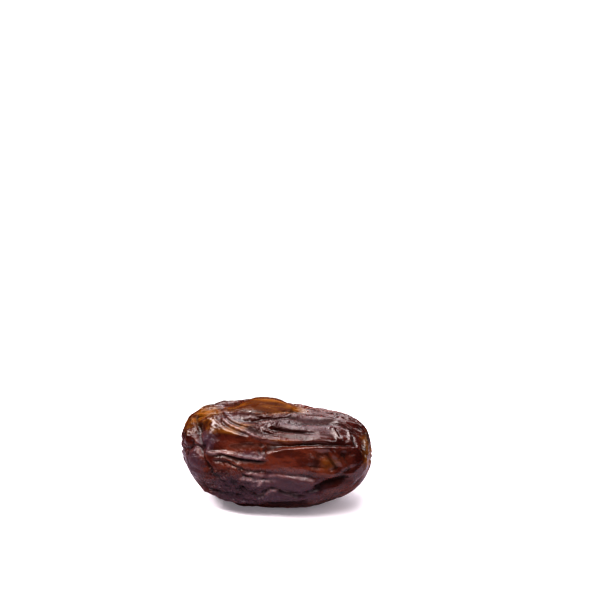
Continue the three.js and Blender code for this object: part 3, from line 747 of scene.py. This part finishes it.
# Creases and pleats that the light doesn't reach, each as a fold: its path, strength, reach above and
# below, and bluntness
SHADED_LINES = [
    ([[-12, 12.8], [-9.5, 15.2], [-7, 12.4], [-4, 11.9], [-1.2, 11], [0.6, 13]], 0.9, 0.15, 0.7, 0.3),
    ([[-0.8, 27], [0.6, 25], [2.6, 27]], 0.9, 0.5, 0.5, 0.3),
    ([[-10.5, 26], [-7, 27], [-4, 28.5], [0, 29]], 1.0, 0.5, 0.6, 0.3),
    ([[11.6, 27], [11.3, 19], [11.0, 10], [10.5, 0]], 0.6, 0.5, 1.2, 0.5),
    ([[12.8, 25], [13.7, 19], [14.8, 10.5], [16.1, -3]], 0.75, 0.5, 0.6, 0.3),
    ([[16.2, 28], [17.2, 19.5], [18, 7], [18.5, -6]], 0.45, 0.4, 0.5, 0.3),
    ([[10, -24], [12.4, -17], [15.3, -13.5], [18.8, -8.5]], 0.9, 0.9, 1.3, 0.5),
    ([[-8, -44], [-2, -43], [5, -42], [12, -38]], 0.9, 0.8, 2.2, 0.5),
    ([[1.5, 68.5], [4.4, 65.9], [7.1, 65], [9.8, 66.6], [13, 71], [15.5, 76]], 1.0, 0.5, 0.8, 0.3),
    ([[-5.8, 45.8], [-3.5, 44.3], [-1.1, 41.5]], 0.9, 0.3, 0.5, 0.3),
    ([[10.5, 44.5], [13, 45.5], [15, 44]], 0.7, 0.4, 0.5, 0.3),
    ([[-0.7, 50.5], [1.7, 49], [4, 47.2], [6.8, 46.8], [9.3, 46.7]], 1.0, 0.3, 0.5, 0.3),
    ([[-9.5, 72], [-7, 68], [-4, 67], [-1.5, 66]], 0.9, 0.4, 0.8, 0.3),
]
# Edges where the skin is rubbed pale and where a painted highlight lies along the crest, each as a path
WORN_AND_HIGHLIT_LINES = [
    [[-11.5, 18], [-9, 17], [-6.5, 15.6], [-4.2, 14.8], [-1.8, 15.2], [-0.6, 19], [0, 22.8]],
    [[-15.1, 19], [-12.7, 16.6], [-10.7, 18.5], [-9.1, 16.5]],
    [[-12.6, 66], [-9.3, 49], [-5.4, 41], [-0.9, 35.5]],
    [[-6.7, -10.8], [-6.3, -8.8], [-5, -8.4], [-2, -8.8], [-0.6, -9.2], [1, -8.4], [2.8, -8.2]],
    [[-6.4, -4.5], [-4.1, -2.2], [-1.1, -3.3], [-0.6, -5.7]],
    [[0, -4.8], [0.7, -2.4], [3.2, -1.4], [6.9, -2.8], [9.6, -6.1], [11, -11.1]],
    [[-4.1, -14.7], [-2.2, -13.4], [-1.9, -11.3], [-1, -11.2]],
    [[-4.8, -27.7], [-1.5, -26.9], [-0.3, -24.1], [0.5, -20.6], [3.1, -21.6], [5.3, -25.4], [9.7, -27.1]],
]
WORN_AND_HIGHLIT_WIDTH = 0.16
SMOOTHING_ROUNDS = 60
SMOOTHING_STEP = 0.2


# Values on the skin's grid, kept as an attribute of the mesh for the finish to read.
def field(name, values):
    attribute = mesh.attributes.new(name, "FLOAT", "POINT")
    attribute.data.foreach_set("value", values[ring, side].astype(np.float32))


# The skin's height over its own smoothed self: above nought on crests, below it in creases.
level = skin
for _ in range(SMOOTHING_ROUNDS):
    level = level + SMOOTHING_STEP * unevenness(level)
field("relief", ((skin - level) * outward(skin)).sum(axis=-1))
field("rugged", rough)
field("ripe", places_over(RIPE_PLACES))
field("amber", places_over(AMBER_PLACES))
field("bloom_and_sheen", places_over(BLOOM_AND_SHEEN_PLACES))
field("shade", sum(fold_rise(line, FRONT_TURN) for line in SHADED_LINES).clip(0, 1))
worn_and_highlit = [(line, 1.0, WORN_AND_HIGHLIT_WIDTH, WORN_AND_HIGHLIT_WIDTH, 0.5 * WORN_AND_HIGHLIT_WIDTH) for line in WORN_AND_HIGHLIT_LINES]
field("worn_and_highlit", sum(fold_rise(line, FRONT_TURN) for line in worn_and_highlit).clip(0, 1))

# The skin stands in the place of the plain fruit
fruit = bpy.data.objects.new("date_skin", mesh)
bpy.context.scene.collection.objects.link(fruit)
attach(fruit, "root")
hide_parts("date_fruit")


# The skin's finish
# Ripe date skin, dark red-brown and glossy with its own sugar. Its creases are painted almost black, as
# painted shade. It is matt and amber where it stands off the flesh, and grey-purple where the bloom is
# left on it and where a painted sheen stands for the pale floor and room mirrored in it.
RED_BROWN = (0.125, 0.029, 0.014, 1)
DARK_RED = (0.055, 0.009, 0.006, 1)
DEEP_RED = (0.028, 0.003, 0.002, 1)
# Painted shade: the near-black laid into the creases and the shaded lines
PAINTED_SHADE_BLACK = (0.012, 0.003, 0.002, 1)
AMBER = (0.19, 0.07, 0.008, 1)
BURNT = (0.07, 0.017, 0.004, 1)
# The grey-purple of the bloom, which is also a painted sheen of the mirrored floor and room
BLOOM_AND_SHEEN = (0.052, 0.022, 0.034, 1)
# The pale of rubbed edges, and a painted highlight along them
PALE_EDGE_AND_HIGHLIGHT = (0.3, 0.19, 0.19, 1)
# Each noise: its cells in a metre, and its detail
COAT_PATCHES = (180, 2)
MOTTLE = (260, 4)
PORES = (320, 2)
STREAKS = (430, 3)
BLOTCHES = (620, 3)
CRINKLES = (620, 4)
FIBRES = (900, 3)
PALE_EDGE_BREAKS = (900, 3)
GRAIN = (1100, 4)
FINE_MOTTLE = (1400, 3)
FIBRE_STRETCH = (0.35, 1, 1)
STREAK_STRETCH = (0.14, 1, 1)
# Each bump: its depth in metres, and its strength
CRINKLE_BUMP = (0.0012, 0.6)
PORE_BUMP = (0.0004, 0.35)
FIBRE_BUMP = (0.00015, 0.5)
GRAIN_BUMP = (0.00008, 0.5)
# Between which values each mask fades in
CREASE_SHADE_FADE = (-0.02, -0.22)
CREST_GLOW_FADE = (0.08, 0.5)
RIPE_FADE = (0.1, 0.8)
STREAK_FADE = (0.4, 0.62)
BLOTCH_FADE = (0.47, 0.62)
AMBER_FADE = (0.25, 0.85)
BLOOM_AND_SHEEN_FADE = (0.2, 0.9)
SHADE_FADE = (0.15, 0.75)
PALE_EDGE_BREAK_FADE = (0.3, 0.6)
COAT_FADE = (0.4, 0.58)
FILM_FADE = (0.6, 0.95)
# How far the mottle breaks up the edges of each place
RIPE_BREAK = 1.2
AMBER_BREAK = 0.7
BLOOM_AND_SHEEN_BREAK = 0.8
SHADE_BREAK = 0.7
CREST_GLOW = 0.2  # how much more amber the crests are, for thinner skin and as a painted glow of light through it
# How much of each colour is laid over the ones below it
BLOTCH_SHARE = 0.6
BLOOM_AND_SHEEN_SHARE = 0.85
CREASE_SHADE_SHARE = 0.55
SHADE_SHARE = 0.5
EDGE_SHARE = 0.6
LEAST_RUGGED = 0.3  # how strongly the skin crinkles where it isn't crumpled
SHEEN_ROUGHNESS = 0.09  # the skin at its smoothest, and what roughens it
MOTTLE_ROUGHNESS = 0.12
BLOOM_AND_SHEEN_ROUGHNESS = 0.16
SHADE_ROUGHNESS = 0.2
SUGAR_COAT = 0.7  # how strong the patches of glossy sugar are
FILM_IN_SHADE = 0.75  # how much of the shine is lost where no light reaches
# What both shaders of the skin share: the flesh shows through it a little, red deepest
SKIN_DEPTH = {
    "IOR": 1.47,
    "Subsurface Weight": 0.2,
    "Subsurface Radius": (0.004, 0.0012, 0.0006),
    "Subsurface Scale": 0.3,
}


class Wire:
    """An output socket. Arithmetic on it adds Math nodes."""

    def __init__(self, finish, socket):
        self.finish = finish
        self.socket = socket

    def maths(self, operation, *values):
        return self.finish.node("ShaderNodeMath", {"operation": operation}, dict(enumerate(values)))

    def __abs__(self):
        return self.maths("ABSOLUTE", self)

    def __add__(self, other):
        return self.maths("ADD", self, other)

    def __radd__(self, other):
        return self.maths("ADD", other, self)

    def __sub__(self, other):
        return self.maths("SUBTRACT", self, other)

    def __rsub__(self, other):
        return self.maths("SUBTRACT", other, self)

    def __mul__(self, other):
        return self.maths("MULTIPLY", self, other)

    def __rmul__(self, other):
        return self.maths("MULTIPLY", other, self)


class Finish:
    """The nodes of a material, or of the room's own light."""

    def __init__(self, owner):
        owner.use_nodes = True
        self.tree = owner.node_tree
        self.tree.nodes.clear()

    def node(self, kind, settings, inputs, output=0):
        made = self.tree.nodes.new(kind)
        for name, value in settings.items():
            setattr(made, name, value)
        for name, value in inputs.items():
            if isinstance(value, Wire):
                self.tree.links.new(value.socket, made.inputs[name])
            else:
                made.inputs[name].default_value = value
        return Wire(self, made.outputs[output]) if made.outputs else made


skin_material = bpy.data.materials.new("date_skin")
node = Finish(skin_material).node


def attribute(name):
    return node("ShaderNodeAttribute", {"attribute_name": name}, {}, "Fac")


def between(value, low, high):
    limits = {"Value": value, "From Min": low, "From Max": high}
    return node("ShaderNodeMapRange", {"interpolation_type": "SMOOTHSTEP"}, limits)


def drawn_out(stretch):
    return node("ShaderNodeMapping", {}, {"Vector": on_fruit, "Scale": stretch})


def noise(cells_and_detail, over=None):
    cells, detail = cells_and_detail
    inputs = {"Vector": over or on_fruit, "Scale": cells, "Detail": detail}
    return node("ShaderNodeTexNoise", {}, inputs, "Fac")


# Two colours mixed, at the colour sockets of a Mix node.
def mixed(factor, first, second):
    return node("ShaderNodeMix", {"data_type": "RGBA"}, {0: factor, 6: first, 7: second}, 2)


# A bump over the surface, or over another bump.
def bumped(height, depth_and_strength, under=None):
    depth, strength = depth_and_strength
    inputs = {"Height": height, "Distance": depth, "Strength": strength}
    if under:
        inputs["Normal"] = under
    return node("ShaderNodeBump", {}, inputs, "Normal")


on_fruit = node("ShaderNodeTexCoord", {}, {}, "Object")
along_fibres = drawn_out(FIBRE_STRETCH)
along_streaks = drawn_out(STREAK_STRETCH)
mottle = noise(MOTTLE, along_fibres)
fine_mottle = noise(FINE_MOTTLE)
# Painted shade: where the skin lies below its smoothed self, in the creases, it is darkened towards black
crease_shade = between(attribute("relief"), *CREASE_SHADE_FADE)
# Painted highlight: where the skin stands above its smoothed self, on the crests, it is painted more amber,
# for light shining through the thin skin there
crest_glow = between(attribute("relief"), *CREST_GLOW_FADE)
ripe = between(attribute("ripe") + (mottle - 0.5) * RIPE_BREAK, *RIPE_FADE)
thin = attribute("amber") + (mottle - 0.5) * AMBER_BREAK + crest_glow * CREST_GLOW
thin = between(thin, *AMBER_FADE)
# Bloom, and painted sheen of the mirrored floor and room, broken up by the fine mottle
dust_and_sheen = between(attribute("bloom_and_sheen") + (fine_mottle - 0.5) * BLOOM_AND_SHEEN_BREAK, *BLOOM_AND_SHEEN_FADE)
shaded = between(attribute("shade") + (mottle - 0.5) * SHADE_BREAK, *SHADE_FADE)
blotched = between(noise(BLOTCHES, along_fibres), *BLOTCH_FADE)
# Rubbed pale edges, partly painted highlights along the ridges, broken up by noise
rubbed_and_highlit = attribute("worn_and_highlit") * between(noise(PALE_EDGE_BREAKS), *PALE_EDGE_BREAK_FADE)

colour = mixed(ripe, DARK_RED, RED_BROWN)
colour = mixed(blotched * BLOTCH_SHARE, colour, DEEP_RED)
film = mixed(between(noise(STREAKS, along_streaks), *STREAK_FADE), BURNT, AMBER)
colour = mixed(thin, colour, film)
# Bloom and painted sheen: grey-purple laid over the skin
colour = mixed(dust_and_sheen * BLOOM_AND_SHEEN_SHARE, colour, BLOOM_AND_SHEEN)
# Painted shade: the creases and the shaded lines are mixed towards black
colour = mixed(crease_shade * CREASE_SHADE_SHARE, colour, PAINTED_SHADE_BLACK)
colour = mixed(shaded * SHADE_SHARE, colour, PAINTED_SHADE_BLACK)
# Painted highlight and rubbed wear: the pale edges laid over the skin
colour = mixed(rubbed_and_highlit * EDGE_SHARE, colour, PALE_EDGE_AND_HIGHLIGHT)

crinkle = abs(noise(CRINKLES) - 0.5) * (LEAST_RUGGED + attribute("rugged"))
crinkled = bumped(crinkle, CRINKLE_BUMP)
dimpled = bumped(noise(PORES), PORE_BUMP, crinkled)
fibrous = bumped(noise(FIBRES, along_fibres), FIBRE_BUMP, dimpled)
grained = bumped(noise(GRAIN), GRAIN_BUMP, fibrous)

roughness = SHEEN_ROUGHNESS + MOTTLE_ROUGHNESS * mottle + MOTTLE_ROUGHNESS * fine_mottle
roughness = roughness + BLOOM_AND_SHEEN_ROUGHNESS * dust_and_sheen + SHADE_ROUGHNESS * shaded
coat = SUGAR_COAT * between(noise(COAT_PATCHES), *COAT_FADE) * (1 - dust_and_sheen) * (1 - shaded)
glossy_skin = node(
    "ShaderNodeBsdfPrincipled",
    {},
    SKIN_DEPTH
    | {
        "Base Color": colour,
        "Roughness": roughness,
        "Specular IOR Level": 0.5,
        "Coat Weight": coat,
        "Coat Roughness": 0.08,
        "Normal": grained,
    },
)
# Where the skin stands off the flesh it is a dry film, with less shine
dry_film = node(
    "ShaderNodeBsdfPrincipled",
    {},
    SKIN_DEPTH
    | {
        "Base Color": colour,
        "Roughness": 0.3,
        "Specular IOR Level": 0.07,
        "Normal": grained,
    },
)
matt = between(attribute("amber"), *FILM_FADE) + FILM_IN_SHADE * shaded
skin_shader = node("ShaderNodeMixShader", {}, {0: matt, 1: glossy_skin, 2: dry_film})
node("ShaderNodeOutputMaterial", {}, {"Surface": skin_shader})
mesh.materials.append(skin_material)


# The floor
# A disc of matt white paper under the fruit, which glows a little, as paper does in a bright room. It
# shows darker in the glossy skin than it is, so that the skin keeps its depth low down.
FLOOR_DROP = 0.00005  # under the fruit's flat spot, so that the two never flicker
FLOOR_RADIUS = 0.058
FLOOR_BACK = 0.010
FLOOR_SIDES = 96
PAPER = {
    "Base Color": (0.9, 0.85, 0.89, 1),
    "Roughness": 0.6,
    "Emission Color": (1.0, 0.93, 1.0, 1),
    "Emission Strength": 0.15,
}
MIRRORED_PAPER = {"Base Color": (0.34, 0.29, 0.35, 1), "Roughness": 0.6}

disc = bmesh.new()
bmesh.ops.create_circle(disc, cap_ends=True, segments=FLOOR_SIDES, radius=FLOOR_RADIUS)
bmesh.ops.translate(disc, verts=disc.verts, vec=(0, FLOOR_BACK, -FLOOR_DROP))
floor_mesh = bpy.data.meshes.new("floor")
disc.to_mesh(floor_mesh)
disc.free()
floor = bpy.data.objects.new("floor", floor_mesh)
bpy.context.scene.collection.objects.link(floor)
floor_material = bpy.data.materials.new("floor_white")
floor_node = Finish(floor_material).node
bright = floor_node("ShaderNodeBsdfPrincipled", {}, PAPER)
dim = floor_node("ShaderNodeBsdfPrincipled", {}, MIRRORED_PAPER)
mirrored = floor_node("ShaderNodeLightPath", {}, {}, "Is Glossy Ray")
either_paper = floor_node("ShaderNodeMixShader", {}, {0: mirrored, 1: bright, 2: dim})
floor_node("ShaderNodeOutputMaterial", {}, {"Surface": either_paper})
floor_mesh.materials.append(floor_material)


# The room
# Pale walls that run out to plain white behind the fruit. They light it softly, and show dimmer in its
# skin than they are, so that the skin stays dark between its highlights.
ROOM_WHITE = (0.97, 0.95, 1.0, 1)
ROOM_LIGHT = {"Color": ROOM_WHITE, "Strength": 0.2}
ROOM_MIRRORED = {"Color": ROOM_WHITE, "Strength": 0.04}
ROOM_SEEN = {"Color": (1, 1, 1, 1), "Strength": 1.0}

world = bpy.data.worlds.new("white_room")
room_node = Finish(world).node
lit = room_node("ShaderNodeBackground", {}, ROOM_LIGHT)
shown = room_node("ShaderNodeBackground", {}, ROOM_MIRRORED)
seen = room_node("ShaderNodeBackground", {}, ROOM_SEEN)
in_mirror = room_node("ShaderNodeLightPath", {}, {}, "Is Glossy Ray")
in_view = room_node("ShaderNodeLightPath", {}, {}, "Is Camera Ray")
unseen = room_node("ShaderNodeMixShader", {}, {0: in_mirror, 1: lit, 2: shown})
either_room = room_node("ShaderNodeMixShader", {}, {0: in_view, 1: unseen, 2: seen})
room_node("ShaderNodeOutputWorld", {}, {"Surface": either_room})
bpy.context.scene.world = world


# The lights
# Windows and lamps round the table, each soft and far away. The high ones draw the long highlights on the
# folds, and the low ones catch the ends.
WARM_WHITE = (1.0, 0.97, 0.95)
PINK_WHITE = (1.0, 0.95, 0.97)
# Each light: how broad it is in degrees, its strength, where it stands in degrees round the table (0
# behind the fruit, 90 at its tip, 180 in front), its height in degrees, and its colour
LIGHTS = [
    ("front", 32, 1.6, 176, 70, (1.0, 0.97, 0.97)),
    ("ceiling", 38, 1.2, 0, 75, (1.0, 0.96, 0.99)),
    ("back", 36, 0.65, 5, 42, (1.0, 0.95, 1.0)),
    ("far wall", 22, 0.14, 14, 17, (1.0, 0.96, 0.96)),
    ("left", 20, 1.05, -86, 45, PINK_WHITE),
    ("right", 24, 0.5, 128, 40, PINK_WHITE),
    ("window", 9, 0.2, -163, 60, WARM_WHITE),
    ("left window", 20, 0.95, -108, 49, WARM_WHITE),
    ("high window", 20, 0.8, -130, 55, WARM_WHITE),
    ("far window", 9, 0.15, 165, 58, WARM_WHITE),
    ("low window", 12, 0.12, 53, 9, WARM_WHITE),
    ("lamp", 4, 0.25, -20, 62, (1.0, 0.98, 0.96)),
]

for name, breadth, strength, heading, height, light_colour in LIGHTS:
    lamp = bpy.data.lights.new(name, "SUN")
    lamp.angle = math.radians(breadth)
    lamp.energy = strength
    lamp.color = light_colour
    holder = bpy.data.objects.new(name, lamp)
    turn, climb = math.radians(heading), math.radians(height)
    towards = (math.sin(turn) * math.cos(climb), math.cos(turn) * math.cos(climb), math.sin(climb))
    holder.rotation_euler = Vector(towards).to_track_quat("Z", "Y").to_euler()
    bpy.context.scene.collection.objects.link(holder)
bpy.context.scene.view_settings.view_transform = "Standard"
bpy.context.scene.view_settings.look = "High Contrast"
